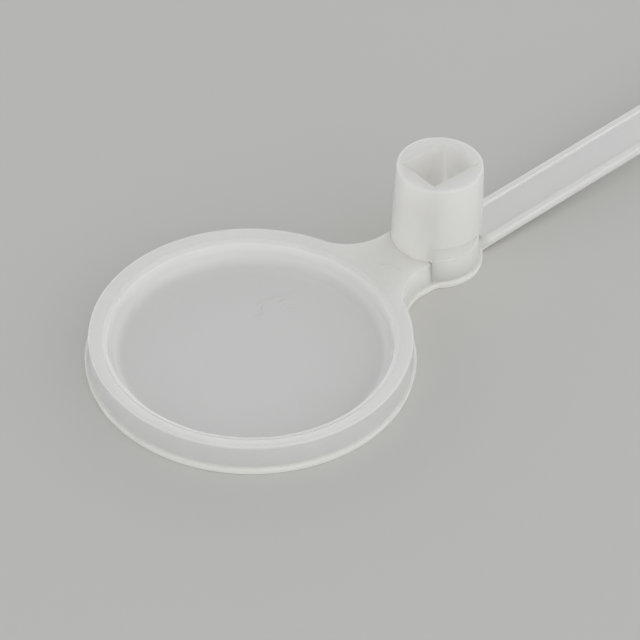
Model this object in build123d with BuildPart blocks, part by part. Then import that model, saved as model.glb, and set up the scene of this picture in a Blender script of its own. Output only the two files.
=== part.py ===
from build123d import *

import os
from math import cos, radians, sin, sqrt

# Moulded sink stopper: a shallow round dish, a socket boss beside it and a ribbed strap.
# The real object is one injection moulding in natural polypropylene. Its regions are written
# as separate solids that meet face to face, so that each can be found by name.
# Millimetres, +Z up. The origin is the centre of the dish on the flat underside.
# +X runs from the dish to the boss and along the strap.

os.makedirs("parts", exist_ok=True)

# ---- dish -------------------------------------------------------------------------------
dish_height = 4.5
dish_top_radius = 22.25
dish_foot_radius = 22.4
floor_thickness = 0.9
recess_radius = 19.65
recess_foot_radius = 19.5
recess_corner = 2.0
rim_slope_drop = 0.7
rim_land = 0.6
rim_outer_rounding = 0.25
rim_inner_rounding = 0.3

# ---- parting lip: a thin band round the whole foot of the moulding ------------------------
lip_height = 0.9
lip_overhang = 0.4
lip_radius = dish_foot_radius + lip_overhang

# ---- neck between the dish and the boss ---------------------------------------------------
neck_half_width = 4.85
neck_draw_in = 0.4
neck_side_radius = 7.5
neck_head_radius = 1.6

# ---- boss with its oblong socket ----------------------------------------------------------
boss_x = 33.8
boss_height = 17.3
boss_top_radius = 6.1
boss_draft = 0.03
boss_edge_radius = 0.3
boss_start = 7.0
socket_length = 8.2
socket_width = 6.6
socket_corner = 0.3

# ---- collar: the drawn-in foot that carries the boss --------------------------------------
step_offset = 4.75
step_x = boss_x - step_offset
collar_foot_radius = 6.4
collar_mid_radius = 6.0
collar_waist_radius = 5.8
collar_waist_height = 5.95
collar_ledge = 0.15
collar_flare = 0.35
head_lip_radius = collar_foot_radius + lip_overhang

# ---- strap: a flat web between two raised edge rails ---------------------------------------
strap_rise = 3.58
strap_start_x = 34.0
strap_reach = 85.0
strap_width = 7.0
web_thickness = 1.0
rail_width = 0.95
rail_height = 0.45
tip_radius = strap_width / 2

# How far a corner or a radius may be from its worked-out place when it is picked for rounding.
pick_tolerance = 0.1

# ---- gate mark: what is left where the runner was broken off --------------------------------
gate_width = 2.2
gate_length = 0.55
gate_height = 1.0


def boss_radius(height):
    """Radius of the drafted boss at a height."""
    return boss_top_radius + (boss_height - height) * boss_draft


# Plan of the foot: dish, neck and head in one outline with rounded inner corners.
def add_outline(dish_radius, neck_half, head_radius, dish_blend, head_blend):
    """Adds the joined plan of dish, neck and head to the open sketch."""
    Circle(dish_radius)
    with Locations((boss_x / 2, 0)):
        Rectangle(boss_x, 2 * neck_half)
    with Locations((boss_x, 0)):
        Circle(head_radius)
    corner_x = sqrt(dish_radius**2 - neck_half**2)
    head_corner_x = boss_x - sqrt(head_radius**2 - neck_half**2)
    inner = [v for v in vertices() if abs(v.X - corner_x) < pick_tolerance]
    fillet(inner, radius=dish_blend)
    outer = [v for v in vertices() if abs(v.X - head_corner_x) < pick_tolerance]
    fillet(outer, radius=head_blend)


# ---- dish floor ---------------------------------------------------------------------------
floor_radius = recess_foot_radius - recess_corner
with BuildPart() as dish_floor:
    with BuildSketch(Plane.XY):
        Circle(floor_radius)
    extrude(amount=floor_thickness)
dish_floor.part.label = "dish_floor"

# ---- dish rim: outer wall, sloping top and the rounded corner down to the floor ------------
rim_inner_z = dish_height - rim_slope_drop
with BuildPart() as dish_rim:
    with BuildSketch(Plane.XZ):
        with BuildLine():
            Polyline(
                (recess_foot_radius, floor_thickness + recess_corner),
                (recess_radius, rim_inner_z),
                (dish_top_radius - rim_land, dish_height),
                (dish_top_radius, dish_height),
                (dish_foot_radius, lip_height),
                (floor_radius, floor_thickness),
            )
            RadiusArc(
                (floor_radius, floor_thickness),
                (recess_foot_radius, floor_thickness + recess_corner),
                -recess_corner,
            )
        make_face()
    revolve(axis=Axis.Z)
    rim_circles = dish_rim.edges().filter_by(GeomType.CIRCLE)
    outer_edge = rim_circles.filter_by(lambda e: abs(e.radius - dish_top_radius) < pick_tolerance)
    crease = rim_circles.filter_by(lambda e: abs(e.radius - recess_radius) < pick_tolerance)
    fillet(outer_edge, radius=rim_outer_rounding)
    fillet(crease, radius=rim_inner_rounding)
dish_rim.part.label = "dish_rim"

# ---- collar --------------------------------------------------------------------------------
with BuildPart() as collar:
    with BuildSketch(Plane.XZ):
        with BuildLine():
            Polyline(
                (boss_x, boss_start),
                (boss_x, lip_height),
                (boss_x + collar_foot_radius, lip_height),
                (boss_x + collar_mid_radius, dish_height),
                (boss_x + collar_mid_radius - collar_ledge, dish_height),
                (boss_x + collar_waist_radius, collar_waist_height),
                (boss_x + collar_waist_radius + collar_flare, boss_start),
                (boss_x, boss_start),
            )
        make_face()
    revolve(axis=Axis((boss_x, 0, 0), (0, 0, 1)))
collar.part.label = "collar"

# ---- socket boss -----------------------------------------------------------------------------
with BuildPart() as socket_boss:
    with BuildSketch(Plane.XZ):
        with BuildLine():
            Polyline(
                (boss_x, boss_start),
                (boss_x + boss_radius(boss_start), boss_start),
                (boss_x + boss_top_radius, boss_height),
                (boss_x, boss_height),
                (boss_x, boss_start),
            )
        make_face()
    revolve(axis=Axis((boss_x, 0, 0), (0, 0, 1)))
    top_rim = socket_boss.edges().filter_by(GeomType.CIRCLE).group_by(Axis.Z)[-1]
    fillet(top_rim, radius=boss_edge_radius)
    with BuildSketch(Plane.XY.offset(boss_height)):
        with Locations((boss_x, 0)):
            RectangleRounded(socket_length, socket_width, socket_corner)
    extrude(amount=boss_start - boss_height, mode=Mode.SUBTRACT)
socket_boss.part.label = "socket_boss"

# ---- neck: a drafted bridge, with the heel of the boss standing on its end ---------------------
with BuildPart() as neck:
    with BuildSketch(Plane.XY.offset(lip_height)):
        add_outline(
            dish_foot_radius,
            neck_half_width,
            collar_foot_radius,
            neck_side_radius,
            neck_head_radius,
        )
    with BuildSketch(Plane.XY.offset(dish_height)):
        add_outline(
            dish_foot_radius - neck_draw_in,
            neck_half_width - neck_draw_in,
            collar_foot_radius - neck_draw_in,
            neck_side_radius + neck_draw_in,
            neck_head_radius + neck_draw_in,
        )
    loft(ruled=True)
    with BuildSketch(Plane.XZ):
        with BuildLine():
            Polyline(
                (boss_x, dish_height),
                (boss_x + boss_radius(dish_height), dish_height),
                (boss_x + boss_radius(boss_start), boss_start),
                (boss_x, boss_start),
                (boss_x, dish_height),
            )
        make_face()
    revolve(axis=Axis((boss_x, 0, 0), (0, 0, 1)))
    split(bisect_by=Plane.YZ.offset(step_x), keep=Keep.BOTTOM)
    add(collar.part, mode=Mode.SUBTRACT)
    with BuildSketch(Plane.XZ):
        with BuildLine():
            Polyline(
                (0, 0),
                (dish_foot_radius, 0),
                (dish_foot_radius, lip_height),
                (dish_top_radius, dish_height),
                (0, dish_height),
                (0, 0),
            )
        make_face()
    revolve(axis=Axis.Z, mode=Mode.SUBTRACT)
neck.part.label = "neck"

# ---- parting lip ----------------------------------------------------------------------------
with BuildPart() as parting_lip:
    with BuildSketch(Plane.XY):
        add_outline(
            lip_radius,
            neck_half_width + lip_overhang,
            head_lip_radius,
            neck_side_radius - lip_overhang,
            neck_head_radius,
        )
        Circle(floor_radius, mode=Mode.SUBTRACT)
    extrude(amount=lip_height)
parting_lip.part.label = "parting_lip"

# ---- strap: web, two rails and the rounded tip, on a plane that rises along its length ----------
rise = radians(strap_rise)
strap_plane = Plane(
    origin=(strap_start_x, 0, 0),
    x_dir=(cos(rise), 0, sin(rise)),
    z_dir=(-sin(rise), 0, cos(rise)),
)
strap_length = strap_reach - (strap_start_x - boss_x)
straight_length = strap_length - tip_radius
rail_y = (strap_width - rail_width) / 2
rail_depth = web_thickness + rail_height

with BuildPart() as strap_web:
    with BuildSketch(strap_plane):
        with Locations((straight_length / 2, 0)):
            Rectangle(straight_length, strap_width - 2 * rail_width)
    extrude(amount=web_thickness)
    add(collar.part, mode=Mode.SUBTRACT)
    add(parting_lip.part, mode=Mode.SUBTRACT)
strap_web.part.label = "strap_web"

rails = {}
for side, name in ((1, "strap_rail_left"), (-1, "strap_rail_right")):
    with BuildPart() as rail:
        with BuildSketch(strap_plane):
            with Locations((straight_length / 2, side * rail_y)):
                Rectangle(straight_length, rail_width)
        extrude(amount=rail_depth)
        add(collar.part, mode=Mode.SUBTRACT)
        add(parting_lip.part, mode=Mode.SUBTRACT)
    rail.part.label = name
    rails[name] = rail.part

with BuildPart() as strap_tip:
    with BuildSketch(strap_plane):
        with Locations((straight_length, 0)):
            Circle(tip_radius)
        with Locations((straight_length, 0)):
            Rectangle(tip_radius, strap_width, align=(Align.MAX, Align.CENTER), mode=Mode.SUBTRACT)
    extrude(amount=rail_depth)
    with BuildSketch(strap_plane.offset(rail_depth)):
        with Locations((straight_length, 0)):
            Circle(tip_radius - rail_width)
    extrude(amount=-rail_height, mode=Mode.SUBTRACT)
strap_tip.part.label = "strap_tip"

# ---- gate mark --------------------------------------------------------------------------------
with BuildPart() as gate_mark:
    with BuildSketch(Plane.XY):
        with Locations((-lip_radius, 0)):
            Rectangle(2 * gate_length, gate_width)
    extrude(amount=gate_height)
    with BuildSketch(Plane.XY):
        Circle(lip_radius)
    extrude(amount=gate_height, mode=Mode.SUBTRACT)
    fillet(gate_mark.edges().filter_by(Axis.Z).group_by(Axis.X)[0], radius=gate_length / 2)
gate_mark.part.label = "gate_mark"

pieces = [
    dish_floor.part,
    dish_rim.part,
    parting_lip.part,
    neck.part,
    collar.part,
    socket_boss.part,
    strap_web.part,
    rails["strap_rail_left"],
    rails["strap_rail_right"],
    strap_tip.part,
    gate_mark.part,
]
for piece in pieces:
    export_step(piece, f"parts/{piece.label}.step")
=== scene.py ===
from math import acos, cos, pi, radians, sin, sqrt, tau

import bmesh
import bpy
from mathutils import Matrix, Vector


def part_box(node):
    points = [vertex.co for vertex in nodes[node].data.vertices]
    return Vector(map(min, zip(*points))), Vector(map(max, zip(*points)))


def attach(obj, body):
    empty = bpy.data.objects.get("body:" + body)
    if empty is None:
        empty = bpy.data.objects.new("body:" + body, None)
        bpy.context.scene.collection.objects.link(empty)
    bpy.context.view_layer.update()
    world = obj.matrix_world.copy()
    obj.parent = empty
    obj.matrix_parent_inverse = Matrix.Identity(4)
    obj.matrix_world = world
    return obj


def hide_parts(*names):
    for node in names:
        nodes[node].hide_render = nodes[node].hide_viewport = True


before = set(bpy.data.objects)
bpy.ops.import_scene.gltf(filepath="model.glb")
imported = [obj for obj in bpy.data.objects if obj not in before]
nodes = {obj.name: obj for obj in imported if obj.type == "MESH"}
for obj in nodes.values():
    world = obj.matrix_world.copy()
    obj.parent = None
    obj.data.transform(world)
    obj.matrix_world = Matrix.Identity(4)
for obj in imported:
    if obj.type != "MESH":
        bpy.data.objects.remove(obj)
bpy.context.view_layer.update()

MM = 0.001

# ---- sizes read from the frame ---------------------------------------------------------------
lip_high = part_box("parting_lip")[1]
rim_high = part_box("dish_rim")[1]
boss_low, boss_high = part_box("socket_boss")
gate_low, gate_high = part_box("gate_mark")

lip_height = lip_high.z
lip_radius = lip_high.y
dish_height = rim_high.z
dish_foot_radius = rim_high.y
floor_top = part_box("dish_floor")[1].z
boss_x = (boss_low.x + boss_high.x) / 2
boss_top = boss_high.z
boss_start = boss_low.z
boss_base_radius = boss_high.y
head_lip_radius = lip_high.x - boss_x
collar_foot_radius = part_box("collar")[1].y
step_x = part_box("neck")[1].x
strap_end_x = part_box("strap_tip")[1].x

# ---- sizes of the moulding's own shape, in metres ----------------------------------------------
dish_top_radius = 22.25 * MM
recess_radius = 19.65 * MM
recess_foot_radius = 19.5 * MM
recess_corner = 2.0 * MM
rim_slope_drop = 0.7 * MM
rim_land = 0.6 * MM
rim_rounding = 0.25 * MM
crease = 0.15 * MM
bead_inset = 0.65 * MM
bead_size = 0.18 * MM
bead_drop = 0.05 * MM
neck_half_width = 4.85 * MM
neck_draw_in = 0.4 * MM
neck_side_radius = 7.5 * MM
head_blend = 1.6 * MM
boss_draft = 0.03
boss_edge_radius = 0.5 * MM
socket_length = 8.2 * MM
socket_width = 6.6 * MM
socket_corner = 0.3 * MM
# The undercut of the collar from its foot upwards, as radius and height.
undercut_line = [
    (collar_foot_radius, lip_height),
    (6.0 * MM, dish_height - 0.05 * MM),
    (5.85 * MM, dish_height + 0.05 * MM),
    (5.8 * MM, boss_start - 1.05 * MM),
    (5.9 * MM, boss_start - 0.7 * MM),
    (6.05 * MM, boss_start - 0.28 * MM),
    (6.35 * MM, boss_start),
]
strap_start_x = boss_x + 0.2 * MM
strap_width = 7.0 * MM
strap_rise = radians(3.58)
web_thickness = 1.0 * MM
rail_width = 0.95 * MM
rail_height = 0.45 * MM
ejector_radius = 2.0 * MM
ejector_depth = 0.06 * MM
ejector_place = (dish_foot_radius + 0.35 * MM, -2.2 * MM, 0)
neck_bite = 0.45 * MM
edge_softening = 0.12 * MM
overlap = 0.4 * MM
weld = 0.001 * MM
# Splinters that a union leaves are about 0.012 mm wide, and every real edge is longer than 0.03 mm.
splinter = 0.015 * MM
turn_steps = 192


# ---- small helpers ---------------------------------------------------------------------------
def deselect_all():
    """Nothing stays selected and nothing is active."""
    bpy.ops.object.select_all(action="DESELECT")
    bpy.context.view_layer.objects.active = None


def take(piece):
    """Makes one piece the only selected and active one."""
    deselect_all()
    piece.select_set(True)
    bpy.context.view_layer.objects.active = piece


def arc(centre, radius, start, end, steps):
    """Points of an arc, first and last included, angles in radians."""
    return [
        (
            centre[0] + radius * cos(start + (end - start) * i / steps),
            centre[1] + radius * sin(start + (end - start) * i / steps),
        )
        for i in range(steps + 1)
    ]


def turned(name, profile, centre_x=0.0, steps=turn_steps):
    """A solid of revolution about a vertical line, from a closed (radius, height) profile."""
    mesh = bpy.data.meshes.new(name)
    points = [(centre_x + radius, 0, height) for radius, height in profile]
    edges = [(i, (i + 1) % len(points)) for i in range(len(points))]
    mesh.from_pydata(points, edges, [])
    piece = bpy.data.objects.new(name, mesh)
    bpy.context.scene.collection.objects.link(piece)
    take(piece)
    bpy.ops.object.mode_set(mode="EDIT")
    bpy.ops.mesh.select_all(action="SELECT")
    bpy.ops.mesh.spin(steps=steps, angle=tau, center=(centre_x, 0, 0), axis=(0, 0, 1))
    bpy.ops.mesh.select_all(action="SELECT")
    bpy.ops.mesh.remove_doubles(threshold=weld)
    bpy.ops.mesh.dissolve_degenerate(threshold=weld)
    bpy.ops.mesh.normals_make_consistent(inside=False)
    bpy.ops.object.mode_set(mode="OBJECT")
    return piece


def stacked(name, rings):
    """A closed solid through a stack of matching outlines, each a list of 3-D points."""
    mesh = bpy.data.meshes.new(name)
    count = len(rings[0])
    points = [point for ring in rings for point in ring]
    faces = [list(reversed(range(count)))]
    for level in range(len(rings) - 1):
        low = level * count
        for i in range(count):
            j = (i + 1) % count
            faces.append([low + i, low + j, low + count + j, low + count + i])
    faces.append(list(range(len(points) - count, len(points))))
    mesh.from_pydata(points, [], faces)
    piece = bpy.data.objects.new(name, mesh)
    bpy.context.scene.collection.objects.link(piece)
    return piece


def soften(piece, width, segments):
    """Rounds every edge sharper than forty degrees."""
    take(piece)
    bevel = piece.modifiers.new("soften", "BEVEL")
    bevel.width = width
    bevel.segments = segments
    bevel.limit_method = "ANGLE"
    bevel.angle_limit = radians(40)
    bpy.ops.object.modifier_apply(modifier=bevel.name)


def combine(piece, other, operation):
    """Joins another solid to the piece, or cuts it away, and uses it up."""
    take(piece)
    cut = piece.modifiers.new("combine", "BOOLEAN")
    cut.operation = operation
    cut.solver = "EXACT"
    cut.object = other
    bpy.ops.object.modifier_apply(modifier=cut.name)
    bpy.data.objects.remove(other)


# ---- the moulding's regions --------------------------------------------------------------------
def foot_plate():
    """The band round the whole foot: dish, neck and head in one outline."""
    half = neck_half_width + (lip_radius - dish_foot_radius)
    blend = neck_side_radius - (lip_radius - dish_foot_radius)
    dish_centre = sqrt((lip_radius + blend) ** 2 - (half + blend) ** 2)
    dish_angle = acos(dish_centre / (lip_radius + blend))
    head_reach = sqrt((head_lip_radius + head_blend) ** 2 - (half + head_blend) ** 2)
    head_angle = pi - acos(head_reach / (head_lip_radius + head_blend))
    upper = []
    upper += arc((boss_x, 0), head_lip_radius, 0, head_angle, 40)
    upper += arc(
        (boss_x - head_reach, half + head_blend), head_blend, head_angle - pi, -pi / 2, 8
    )[1:]
    upper += arc(
        (dish_centre, half + blend), blend, -pi / 2, dish_angle - pi, 24
    )
    upper += arc((0, 0), lip_radius, dish_angle, pi, 84)[1:]
    lower = [(x, -y) for x, y in reversed(upper[1:-1])]
    outline = upper + lower
    plate = stacked(
        "foot_plate",
        [[(x, y, z) for x, y in outline] for z in (0.0, lip_height)],
    )
    soften(plate, edge_softening, 2)
    hole = turned(
        "hole",
        [
            (0, -overlap),
            (recess_foot_radius - recess_corner / 2, -overlap),
            (recess_foot_radius - recess_corner / 2, lip_height + overlap),
            (0, lip_height + overlap),
        ],
    )
    combine(plate, hole, "DIFFERENCE")
    return plate


def dish():
    """Flat floor, rounded inner corner, sloping rim and the drafted outer wall."""
    inner_z = dish_height - rim_slope_drop
    corner_x = recess_foot_radius - recess_corner
    corner_z = floor_top + recess_corner
    profile = [(0, 0), (dish_foot_radius, 0), (dish_foot_radius, lip_height)]
    profile += arc(
        (dish_top_radius - rim_rounding, dish_height - rim_rounding), rim_rounding, 0, pi / 2, 5
    )
    profile += [(dish_top_radius - rim_land, dish_height)]
    bead_x = recess_radius + bead_inset
    bead_z = inner_z + rim_slope_drop * bead_inset / (dish_top_radius - rim_land - recess_radius)
    profile += [(bead_x + bead_size, bead_z + bead_drop), (bead_x, bead_z + bead_size / 2)]
    profile += [(bead_x - bead_size, bead_z - bead_drop)]
    profile += arc((recess_radius + crease, inner_z - crease / 2), crease, 0.6 * pi, pi, 5)
    profile += arc((corner_x, corner_z), recess_corner, 0, -pi / 2, 16)
    profile += [(0, floor_top)]
    return turned("dish", profile)


def neck():
    """The bridge from the dish to the step, with drafted and curved side walls."""
    centre_y = neck_half_width + neck_side_radius
    centre_x = sqrt((dish_foot_radius + neck_side_radius) ** 2 - centre_y**2)
    angle = acos(centre_x / (dish_foot_radius + neck_side_radius))
    inner = dish_top_radius - neck_bite
    rings = []
    for z in (lip_height - overlap, dish_height):
        draw = neck_draw_in * (z - lip_height) / (dish_height - lip_height)
        blend = neck_side_radius + draw
        upper = [(step_x, centre_y - blend)]
        upper += arc((centre_x, centre_y), blend, -pi / 2, angle - pi, 24)
        inside = arc((0, 0), inner, angle, -angle, 20)
        lower = [(x, -y) for x, y in reversed(upper)]
        rings.append([(x, y, z) for x, y in upper + inside + lower])
    return stacked("neck", rings)


def boss():
    """The drafted boss down to the foot, undercut beyond the step, with its oblong socket."""
    def radius(z):
        return boss_base_radius + (boss_start - z) * boss_draft

    top = radius(boss_top)
    profile = [(0, lip_height - overlap), (radius(lip_height - overlap), lip_height - overlap)]
    profile += arc(
        (top - boss_edge_radius, boss_top - boss_edge_radius), boss_edge_radius, 0, pi / 2, 5
    )
    profile += [(0, boss_top)]
    body = turned("boss", profile, boss_x)

    clear = 2 * collar_foot_radius
    undercut = [(collar_foot_radius, lip_height - overlap)]
    undercut += undercut_line
    undercut += [(clear, boss_start), (clear, lip_height - overlap)]
    ring = turned("undercut", undercut, boss_x)
    take(ring)
    bpy.ops.object.mode_set(mode="EDIT")
    bpy.ops.mesh.select_all(action="SELECT")
    bpy.ops.mesh.bisect(
        plane_co=(step_x, 0, 0),
        plane_no=(1, 0, 0),
        use_fill=True,
        clear_inner=True,
        threshold=weld / 10,
    )
    bpy.ops.object.mode_set(mode="OBJECT")
    combine(body, ring, "DIFFERENCE")

    bpy.ops.mesh.primitive_cube_add(
        size=1, location=(boss_x, 0, boss_start + (boss_top - boss_start) / 2 + overlap / 2)
    )
    socket = bpy.context.object
    socket.scale = (socket_length, socket_width, boss_top - boss_start + overlap)
    bpy.ops.object.transform_apply(location=True, rotation=False, scale=True)
    bpy.ops.object.mode_set(mode="EDIT")
    bpy.ops.mesh.select_all(action="DESELECT")
    bpy.ops.mesh.select_mode(type="EDGE")
    edit = bmesh.from_edit_mesh(socket.data)
    for edge in edit.edges:
        a, b = edge.verts
        edge.select_set(abs(a.co.z - b.co.z) > overlap)
    bmesh.update_edit_mesh(socket.data)
    bpy.ops.mesh.bevel(offset=socket_corner, segments=4, affect="EDGES")
    bpy.ops.object.mode_set(mode="OBJECT")
    combine(body, socket, "DIFFERENCE")
    return body


def strap():
    """A flat web between two raised rails, with a round tip, rising along its length."""
    length = (strap_end_x - strap_start_x) / cos(strap_rise)
    half = strap_width / 2
    outline = [(0, half), (0, -half)]
    outline += arc((length - half, 0), half, -pi / 2, pi / 2, 32)
    depth = web_thickness + rail_height
    piece = stacked("strap", [[(x, y, z) for x, y in outline] for z in (0.0, depth)])
    take(piece)
    bpy.ops.object.mode_set(mode="EDIT")
    bpy.ops.mesh.select_mode(type="FACE")
    edit = bmesh.from_edit_mesh(piece.data)
    for face in edit.faces:
        face.select_set(face.normal.z > 0.5)
    bmesh.update_edit_mesh(piece.data)
    bpy.ops.mesh.inset(thickness=rail_width, depth=0)
    bpy.ops.mesh.extrude_region_move(
        TRANSFORM_OT_translate={"value": (0, 0, -rail_height)}
    )
    bpy.ops.object.mode_set(mode="OBJECT")
    soften(piece, edge_softening, 3)
    lie = Matrix.Translation((strap_start_x, 0, 0)) @ Matrix.Rotation(-strap_rise, 4, "Y")
    piece.matrix_world = lie
    take(piece)
    bpy.ops.object.transform_apply(location=True, rotation=True, scale=True)
    return piece


def ejector_mark():
    """A shallow round sink where an ejector pin pushed on the neck."""
    profile = [
        (0, dish_height - ejector_depth),
        (ejector_radius, dish_height - ejector_depth),
        (ejector_radius, dish_height + overlap),
        (0, dish_height + overlap),
    ]
    pin = turned("pin", profile, steps=48)
    pin.location = ejector_place
    take(pin)
    bpy.ops.object.transform_apply(location=True, rotation=False, scale=False)
    return pin


def gate_nub():
    """The torn stub of the runner on the edge of the dish, opposite the strap.

    Known fault: its torn faces cross one another, and the union leaves the whole stub out.
    """
    size = gate_high - gate_low
    middle_x = (gate_low.x + gate_high.x) / 2
    bpy.ops.mesh.primitive_cube_add(size=1, location=(0, 0, 0))
    nub = bpy.context.object
    nub.scale = (size.x + overlap, size.y, size.z)
    nub.location = (middle_x + overlap / 2, 0, size.z / 2)
    take(nub)
    bpy.ops.object.transform_apply(location=True, rotation=False, scale=True)
    bpy.ops.object.mode_set(mode="EDIT")
    bpy.ops.mesh.select_all(action="SELECT")
    bpy.ops.mesh.subdivide(number_cuts=5, fractal=0.0)
    edit = bmesh.from_edit_mesh(nub.data)
    for vertex in edit.verts:
        across = vertex.co.y / MM
        up = vertex.co.z / MM
        torn = 0.5 + 0.5 * sin(5.1 * across + 3.0 * up) * cos(7.3 * up - 2.0 * across)
        outward = max(0.0, (middle_x - vertex.co.x) / size.x)
        if vertex.co.z > 0.9 * size.z:
            vertex.co.z -= size.z / 8 * (1.2 + cos(6.0 * across + 1.0))
        if outward > 0:
            vertex.co.x += 0.7 * torn * size.x
        vertex.co.y *= 1.0 - 0.3 * outward
    bmesh.update_edit_mesh(nub.data)
    bpy.ops.object.mode_set(mode="OBJECT")
    return nub


def moulding():
    """The whole moulding in one skin, as it leaves the mould."""
    whole = foot_plate()
    for part in (dish(), neck(), boss(), strap(), gate_nub()):
        combine(whole, part, "UNION")
    combine(whole, ejector_mark(), "DIFFERENCE")
    whole.name = "moulding"
    whole.data.name = "moulding"
    take(whole)
    bpy.ops.object.mode_set(mode="EDIT")
    bpy.ops.mesh.select_all(action="SELECT")
    bpy.ops.mesh.remove_doubles(threshold=splinter)
    bpy.ops.mesh.dissolve_degenerate(threshold=weld)
    bpy.ops.object.mode_set(mode="OBJECT")
    bpy.ops.object.shade_smooth_by_angle(angle=radians(32))
    return whole


piece = moulding()
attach(piece, "root")
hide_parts(*sorted(nodes))


# ---- materials -----------------------------------------------------------------------------------
milk_colour = "#fffdf2"
clear_colour = "#fcfcf9"
dust_colour = "#e6e0d2"
board_colour = "#dddddb"
# How far light wanders in each region before it comes out again.
body_scatter = 5.0 * MM
boss_scatter = 6.0 * MM
collar_scatter = 8.0 * MM
socket_scatter = 14.0 * MM
rail_scatter = 2.0 * MM
sheet_scatter = 0.85 * MM
edge_scatter = 0.2 * MM
scratch_scatter = 0.12 * MM
body_clearness = 0.05
wall_clearness = 0.3
coat_weight = 0.6
coat_roughness = 0.14
refraction = 1.49
# Turning marks and grain are finer than 0.1 mm on a real mould, and are drawn coarser here.
ring_pitch = 0.45 * MM
ring_height = 0.003 * MM
wave_size = 5.0 * MM
wave_height = 0.06 * MM
grain_size = 0.5 * MM
grain_height = 0.004 * MM
cloud_size = 3.5 * MM
dust_spacing = 6.5 * MM
dust_radius = 0.11 * MM
scratch_height = 0.08 * MM
wander_size = 1.2 * MM
wander_reach = 0.3 * MM
break_size = 0.6 * MM
patch_size = 2.0 * MM
# Each scratch: middle x, middle y, length and half width in millimetres, then angle in degrees.
scratches = [
    (5.3, 5.3, 3.4, 0.14, 5),
    (10.0, 6.7, 7.4, 0.11, -11),
    (9.0, 7.4, 2.4, 0.11, -16),
    (10.1, 5.7, 1.8, 0.14, -2),
    (10.3, 3.7, 1.3, 0.11, -38),
    (7.2, 6.3, 1.2, 0.16, 20),
]


def linear(code):
    """An sRGB hex colour as linear red, green, blue and alpha."""
    values = [int(code[i : i + 2], 16) / 255 for i in (1, 3, 5)]
    return [v / 12.92 if v <= 0.04045 else ((v + 0.055) / 1.055) ** 2.4 for v in values] + [1.0]


def add_node(tree, kind, inputs, output=0, **settings):
    """Adds one node with its settings, sets or links its inputs, and gives back one output."""
    node = tree.nodes.new(kind)
    for key, value in settings.items():
        setattr(node, key, value)
    for key, value in inputs.items():
        if isinstance(value, bpy.types.NodeSocket):
            tree.links.new(value, node.inputs[key])
        else:
            node.inputs[key].default_value = value
    return node.outputs[output]


def scratch_zone(tree, flat):
    """Where a few hard strokes have marked the dish floor, from nought to one."""
    wander = add_node(tree, "ShaderNodeTexNoise", {"Vector": flat, "Scale": 1 / wander_size})
    sway = add_node(
        tree,
        "ShaderNodeMapRange",
        {"Value": wander, "To Min": -wander_reach, "To Max": wander_reach},
    )
    total = 0.0
    for x, y, length, width, angle in scratches:
        local = add_node(
            tree,
            "ShaderNodeMapping",
            {
                "Vector": flat,
                "Location": (x * MM, y * MM, 0),
                "Rotation": (0, 0, radians(angle)),
            },
            vector_type="TEXTURE",
        )
        axes = add_node(tree, "ShaderNodeSeparateXYZ", {"Vector": local}).node
        along = add_node(tree, "ShaderNodeMath", {0: axes.outputs["X"]}, operation="ABSOLUTE")
        bent = add_node(tree, "ShaderNodeMath", {0: axes.outputs["Y"], 1: sway}, operation="ADD")
        across = add_node(tree, "ShaderNodeMath", {0: bent}, operation="ABSOLUTE")
        ends = add_node(
            tree,
            "ShaderNodeMapRange",
            {"Value": along, "From Min": length / 2 * MM, "From Max": length / 3 * MM},
            interpolation_type="SMOOTHSTEP",
        )
        line = add_node(
            tree,
            "ShaderNodeMapRange",
            {"Value": across, "From Min": width * MM, "From Max": width / 3 * MM},
            interpolation_type="SMOOTHSTEP",
        )
        stroke = add_node(tree, "ShaderNodeMath", {0: ends, 1: line}, operation="MULTIPLY")
        total = add_node(tree, "ShaderNodeMath", {0: total, 1: stroke}, operation="MAXIMUM")
    breaks = add_node(tree, "ShaderNodeTexNoise", {"Vector": flat, "Scale": 1 / break_size})
    kept = add_node(
        tree,
        "ShaderNodeMapRange",
        {"Value": breaks, "From Min": 0.36, "From Max": 0.52},
    )
    return add_node(tree, "ShaderNodeMath", {0: total, 1: kept}, operation="MULTIPLY")


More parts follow.
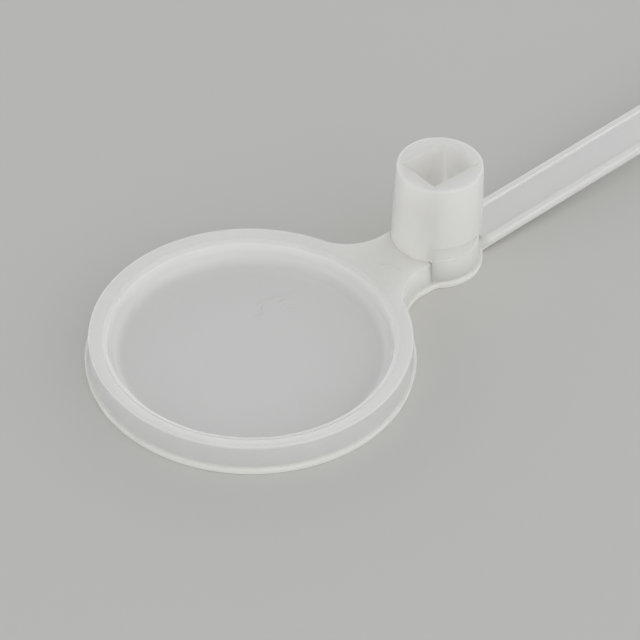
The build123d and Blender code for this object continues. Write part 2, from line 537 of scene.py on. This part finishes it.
def polypropylene():
    """Natural polypropylene, injection moulded in a polished mould.

    Light wanders inside it: thick walls are milky and even, thin sheets take on the grey of
    what they lie on, and thin edges are white. The skin is soft-glossy with faint flow waves.
    """
    material = bpy.data.materials.new("natural_polypropylene_moulded")
    material.use_nodes = True
    tree = material.node_tree
    shader = tree.nodes["Principled BSDF"]
    shader.inputs["IOR"].default_value = refraction
    shader.inputs["Subsurface Weight"].default_value = 1.0
    shader.inputs["Subsurface Radius"].default_value = (1.0, 1.0, 1.0)
    shader.inputs["Coat Weight"].default_value = coat_weight
    shader.inputs["Coat Roughness"].default_value = coat_roughness
    shader.inputs["Coat IOR"].default_value = refraction

    place = add_node(tree, "ShaderNodeTexCoord", {}, "Object")
    axes = add_node(tree, "ShaderNodeSeparateXYZ", {"Vector": place}).node
    length, height = axes.outputs["X"], axes.outputs["Z"]
    across = add_node(tree, "ShaderNodeMath", {0: axes.outputs["Y"]}, operation="ABSOLUTE")
    flat = add_node(tree, "ShaderNodeCombineXYZ", {"X": length, "Y": axes.outputs["Y"]})
    radius = add_node(
        tree, "ShaderNodeVectorMath", {"Vector": flat}, "Value", operation="LENGTH"
    )
    from_boss = add_node(tree, "ShaderNodeMath", {0: length, 1: boss_x}, operation="SUBTRACT")
    off_boss = add_node(tree, "ShaderNodeMath", {0: from_boss}, operation="ABSOLUTE")

    # Regions of the moulding, each from nought to one with a soft border.
    borders = {
        "floor": (radius, recess_radius + 1.2 * MM, recess_radius - 0.6 * MM),
        "head": (length, step_x - 0.5 * MM, step_x + 0.5 * MM),
        "strap": (length, boss_x + head_lip_radius, boss_x + head_lip_radius + 0.5 * MM),
        "web": (across, strap_width / 2 - rail_width + 0.2 * MM, strap_width / 2 - rail_width),
        "foot": (height, lip_height + 0.2 * MM, lip_height + 0.05 * MM),
        "outside": (radius, recess_radius + MM, dish_foot_radius - 0.3 * MM),
        "rim_wall": (radius, dish_top_radius - 0.3 * MM, dish_top_radius - 0.1 * MM),
        "before_neck": (length, dish_top_radius - 1.5 * MM, dish_top_radius - 3.0 * MM),
        "above_lip": (height, lip_height, lip_height + 0.4 * MM),
        "below_rim": (height, dish_height, dish_height - 0.5 * MM),
        "socket_sides": (off_boss, socket_length / 2 + 0.2 * MM, socket_length / 2),
        "socket_ends": (across, socket_width / 2 + 0.2 * MM, socket_width / 2),
        "upper": (height, boss_start - 1.0 * MM, boss_start),
        "lower": (height, boss_start - 0.6 * MM, boss_start - 1.2 * MM),
    }
    zones = {
        name: add_node(
            tree,
            "ShaderNodeMapRange",
            {"Value": value, "From Min": low, "From Max": high},
            interpolation_type="SMOOTHSTEP",
        )
        for name, (value, low, high) in borders.items()
    }
    meetings = (
        ("web", "web", "strap"),
        ("edge", "foot", "outside"),
        ("wall", "rim_wall", "before_neck"),
        ("wall", "wall", "above_lip"),
        ("wall", "wall", "below_rim"),
        ("socket", "socket_sides", "socket_ends"),
        ("socket", "socket", "upper"),
        ("collar", "head", "lower"),
    )
    for name, first, second in meetings:
        zones[name] = add_node(
            tree, "ShaderNodeMath", {0: zones[first], 1: zones[second]}, operation="MULTIPLY"
        )
    zones["scratch"] = add_node(
        tree,
        "ShaderNodeMath",
        {0: scratch_zone(tree, flat), 1: zones["floor"]},
        operation="MULTIPLY",
    )

    # Scatter: a length for each region, laid over one another, then made cloudy.
    reach = body_scatter
    for name, scatter in (
        ("head", boss_scatter),
        ("collar", collar_scatter),
        ("socket", socket_scatter),
        ("edge", edge_scatter),
        ("strap", rail_scatter),
        ("web", sheet_scatter),
        ("floor", sheet_scatter),
        ("scratch", scratch_scatter),
    ):
        reach = add_node(tree, "ShaderNodeMix", {"Factor": zones[name], "A": reach, "B": scatter})
    clouds = add_node(
        tree, "ShaderNodeTexNoise", {"Vector": place, "Scale": 1 / cloud_size, "Detail": 3.0}
    )
    cloudy = add_node(
        tree, "ShaderNodeMapRange", {"Value": clouds, "To Min": 0.6, "To Max": 1.4}
    )
    scale = add_node(tree, "ShaderNodeMath", {0: reach, 1: cloudy}, operation="MULTIPLY")
    tree.links.new(scale, shader.inputs["Subsurface Scale"])

    # Clearness: the dish's outer wall is the clearest, and light that is inside gets out.
    inside = add_node(tree, "ShaderNodeNewGeometry", {}, "Backfacing")
    wall = add_node(
        tree,
        "ShaderNodeMapRange",
        {"Value": zones["wall"], "To Min": body_clearness, "To Max": wall_clearness},
    )
    clearness = add_node(tree, "ShaderNodeMath", {0: inside, 1: wall}, operation="MAXIMUM")
    tree.links.new(clearness, shader.inputs["Transmission Weight"])

    # Colour: a trace of straw in thick walls, none in thin ones, and a few specks of dust.
    thin = add_node(
        tree, "ShaderNodeMath", {0: zones["floor"], 1: zones["web"]}, operation="MAXIMUM"
    )
    cool = add_node(tree, "ShaderNodeMath", {0: thin, 1: zones["wall"]}, operation="MAXIMUM")
    plain = add_node(tree, "ShaderNodeMath", {0: cool, 1: zones["scratch"]}, operation="SUBTRACT")
    tint = add_node(
        tree,
        "ShaderNodeMix",
        {"Factor": plain, "A": linear(milk_colour), "B": linear(clear_colour)},
        "Result",
        data_type="RGBA",
    )
    cells = add_node(
        tree, "ShaderNodeTexVoronoi", {"Vector": place, "Scale": 1 / dust_spacing}, "Distance"
    )
    speck = add_node(
        tree,
        "ShaderNodeMapRange",
        {
            "Value": cells,
            "From Min": dust_radius / dust_spacing,
            "From Max": dust_radius / dust_spacing / 2,
            "To Max": 0.5,
        },
    )
    colour = add_node(
        tree,
        "ShaderNodeMix",
        {"Factor": speck, "A": tint, "B": linear(dust_colour)},
        "Result",
        data_type="RGBA",
    )
    tree.links.new(colour, shader.inputs["Base Color"])

    # Gloss: slightly uneven, and rough in the scratches.
    patches = add_node(tree, "ShaderNodeTexNoise", {"Vector": place, "Scale": 1 / patch_size})
    polish = add_node(
        tree, "ShaderNodeMapRange", {"Value": patches, "To Min": 0.3, "To Max": 0.42}
    )
    gloss = add_node(
        tree, "ShaderNodeMix", {"Factor": zones["scratch"], "A": polish, "B": 0.6}
    )
    tree.links.new(gloss, shader.inputs["Roughness"])

    # Relief: flow waves and grain everywhere, turning marks on the dish floor, scratches.
    waves = add_node(tree, "ShaderNodeTexNoise", {"Vector": place, "Scale": 1 / wave_size})
    grain = add_node(tree, "ShaderNodeTexNoise", {"Vector": place, "Scale": 1 / grain_size})
    rings = add_node(
        tree,
        "ShaderNodeTexWave",
        {"Vector": place, "Scale": tau / 20 / ring_pitch, "Distortion": 0.4},
        "Fac",
        wave_type="RINGS",
        rings_direction="Z",
    )
    floor_rings = add_node(
        tree, "ShaderNodeMath", {0: rings, 1: zones["floor"]}, operation="MULTIPLY"
    )
    relief = 0.0
    for shape, depth in (
        (waves, wave_height),
        (grain, grain_height),
        (floor_rings, ring_height),
        (zones["scratch"], scratch_height),
    ):
        relief = add_node(
            tree, "ShaderNodeMath", {0: shape, 1: depth, 2: relief}, operation="MULTIPLY_ADD"
        )
    bumps = add_node(tree, "ShaderNodeBump", {"Height": relief, "Strength": 1.0, "Distance": 1.0})
    tree.links.new(bumps, shader.inputs["Normal"])
    tree.links.new(bumps, shader.inputs["Coat Normal"])
    return material


piece.data.materials.clear()
piece.data.materials.append(polypropylene())


# ---- floor, light and camera ------------------------------------------------------------------------
floor_size = 3.0
floor_gap = 0.02 * MM
horizon_light = 1.5
zenith_light = 0.38
zenith_height = 0.7
lamp_power = 0.9
lamp_size = 0.9
lamp_place = (0.08, -0.55, 0.50)
aim_point = (0.02, 0, 0)
camera_lens = 180.05
camera_sensor = 36
camera_place = (-0.20490699, -0.25013648, 0.29930413)
camera_right = (0.76664394, -0.64175076, 0.02032325)
camera_up = (0.41879167, 0.52378562, 0.74179658)


def studio_floor():
    """A matt, pale grey board."""
    bpy.ops.mesh.primitive_plane_add(size=floor_size, location=(0, 0, -floor_gap))
    board = bpy.context.object
    board.name = "studio_floor"
    material = bpy.data.materials.new("matt_grey_board")
    material.use_nodes = True
    shader = material.node_tree.nodes["Principled BSDF"]
    shader.inputs["Base Color"].default_value = linear(board_colour)
    shader.inputs["Roughness"].default_value = 0.5
    board.data.materials.append(material)


def studio_light():
    """A bright horizon under a dimmer ceiling, and one large soft lamp on the near right."""
    world = bpy.data.worlds.new("studio")
    bpy.context.scene.world = world
    world.use_nodes = True
    tree = world.node_tree
    background = tree.nodes["Background"]
    background.inputs["Color"].default_value = (1, 1, 1, 1)
    place = add_node(tree, "ShaderNodeTexCoord", {}, "Generated")
    height = add_node(tree, "ShaderNodeSeparateXYZ", {"Vector": place}, "Z")
    strength = add_node(
        tree,
        "ShaderNodeMapRange",
        {
            "Value": height,
            "From Max": zenith_height,
            "To Min": horizon_light,
            "To Max": zenith_light,
        },
    )
    tree.links.new(strength, background.inputs["Strength"])
    light = bpy.data.lights.new("soft_box", "AREA")
    light.size = lamp_size
    light.energy = lamp_power
    lamp = bpy.data.objects.new("soft_box", light)
    bpy.context.scene.collection.objects.link(lamp)
    lamp.location = lamp_place
    aim = Vector(aim_point) - Vector(lamp_place)
    lamp.rotation_euler = aim.to_track_quat("-Z", "Y").to_euler()


def studio_camera():
    """A long lens from above the near left of the dish."""
    view = bpy.data.cameras.new("camera")
    view.lens = camera_lens
    view.sensor_width = camera_sensor
    view.clip_start = 10 * MM
    camera = bpy.data.objects.new("camera", view)
    bpy.context.scene.collection.objects.link(camera)
    right = Vector(camera_right)
    up = Vector(camera_up)
    turn = Matrix((right, up, right.cross(up))).transposed()
    camera.matrix_world = Matrix.Translation(camera_place) @ turn.to_4x4()
    bpy.context.scene.camera = camera


studio_floor()
studio_light()
studio_camera()
bpy.context.scene.view_settings.view_transform = "Standard"
